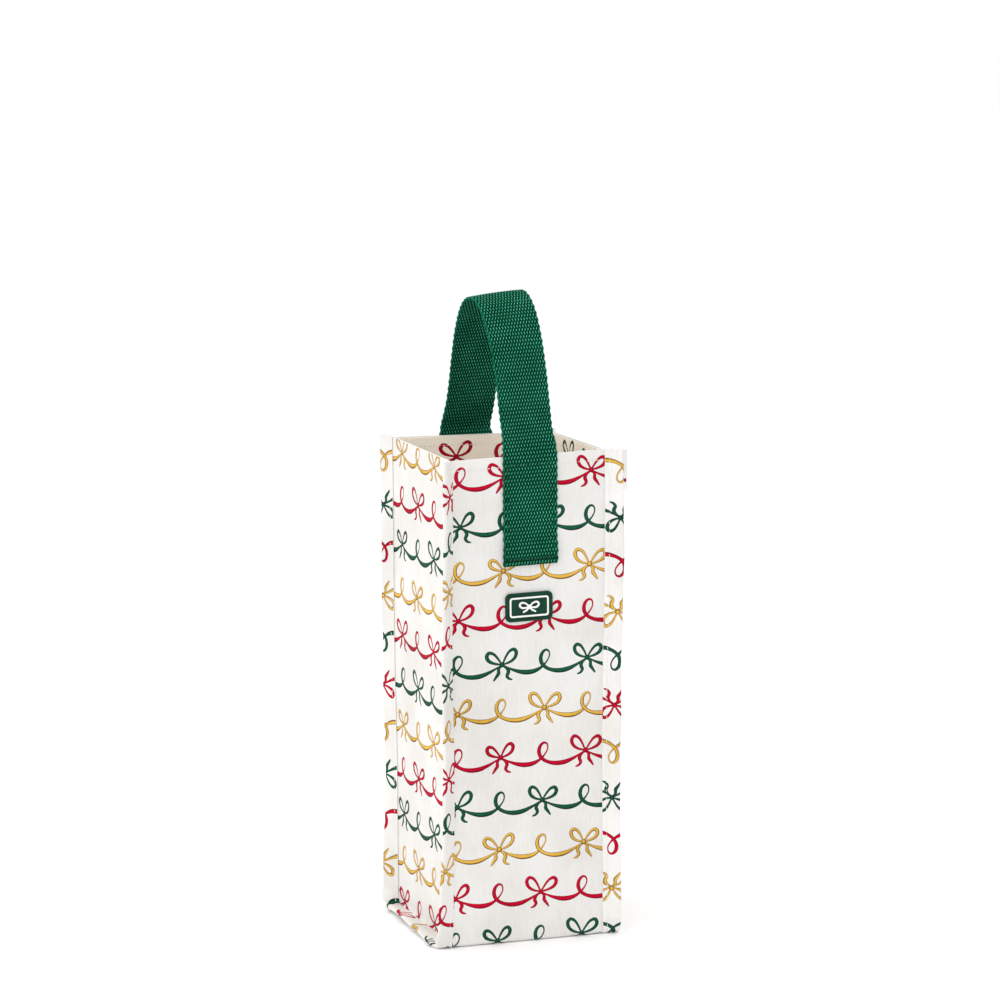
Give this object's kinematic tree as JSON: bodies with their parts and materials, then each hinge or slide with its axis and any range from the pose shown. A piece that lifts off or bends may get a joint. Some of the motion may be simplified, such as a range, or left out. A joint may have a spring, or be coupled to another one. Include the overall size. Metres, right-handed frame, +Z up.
{
  "type": "wine gift bag",
  "caption": "Square upright fabric gift bag for one bottle, with printed lined walls, outside bound seams, a rubber patch and a webbing handle that swings to either side.",
  "frame": {"origin": "middle of the bag's footprint, on the surface that it stands on", "axes": "+Z up, -Y towards the front (the wall with the patch), +X to the right of someone facing the front"},
  "size_m": [0.135, 0.1282, 0.43],
  "materials": {
    "printed_fabric": "off-white laminated cloth printed with ribbon garlands",
    "lining_fabric": "off-white printed lining",
    "printed_tape": "off-white printed binding tape",
    "white_thread": "white sewing thread",
    "green_webbing": "coarsely woven emerald polypropylene webbing",
    "green_thread": "green sewing thread",
    "patch_rubber": "dark green moulded rubber",
    "patch_marks": "white moulded rubber",
    "base_board": "stiff plastic sheet"
  },
  "bodies": {
    "bag": {"front_panel": "printed_fabric", "back_panel": "printed_fabric", "left_side_panel": "printed_fabric", "right_side_panel": "printed_fabric", "base_panel": "printed_fabric", "front_lining": "lining_fabric", "back_lining": "lining_fabric", "left_lining": "lining_fabric", "right_lining": "lining_fabric", "base_lining": "lining_fabric", "front_left_binding": "printed_tape", "front_right_binding": "printed_tape", "back_left_binding": "printed_tape", "back_right_binding": "printed_tape", "bottom_left_binding": "printed_tape", "bottom_right_binding": "printed_tape", "left_binding_stitching": "white_thread", "right_binding_stitching": "white_thread", "front_hem_stitching": "white_thread", "back_hem_stitching": "white_thread", "left_hem_stitching": "white_thread", "right_hem_stitching": "white_thread", "handle_front_end": "green_webbing", "handle_rear_end": "green_webbing", "handle_front_stitching": "green_thread", "handle_rear_stitching": "green_thread", "patch_base": "patch_rubber", "patch_border": "patch_marks", "patch_motif": "patch_marks", "base_board": "base_board"},
    "handle": {"handle_loop": "green_webbing", "handle_front_bend": "green_webbing", "handle_rear_bend": "green_webbing"}
  },
  "joints": [
    {"name": "handle_swing", "type": "hinge", "parent": "bag", "child": "handle", "pos_m": [0, 0, 0.328], "axis": [0, 1, 0], "range_deg": [-65, 65], "deforming": ["handle_front_bend", "handle_rear_bend"]}
  ]
}
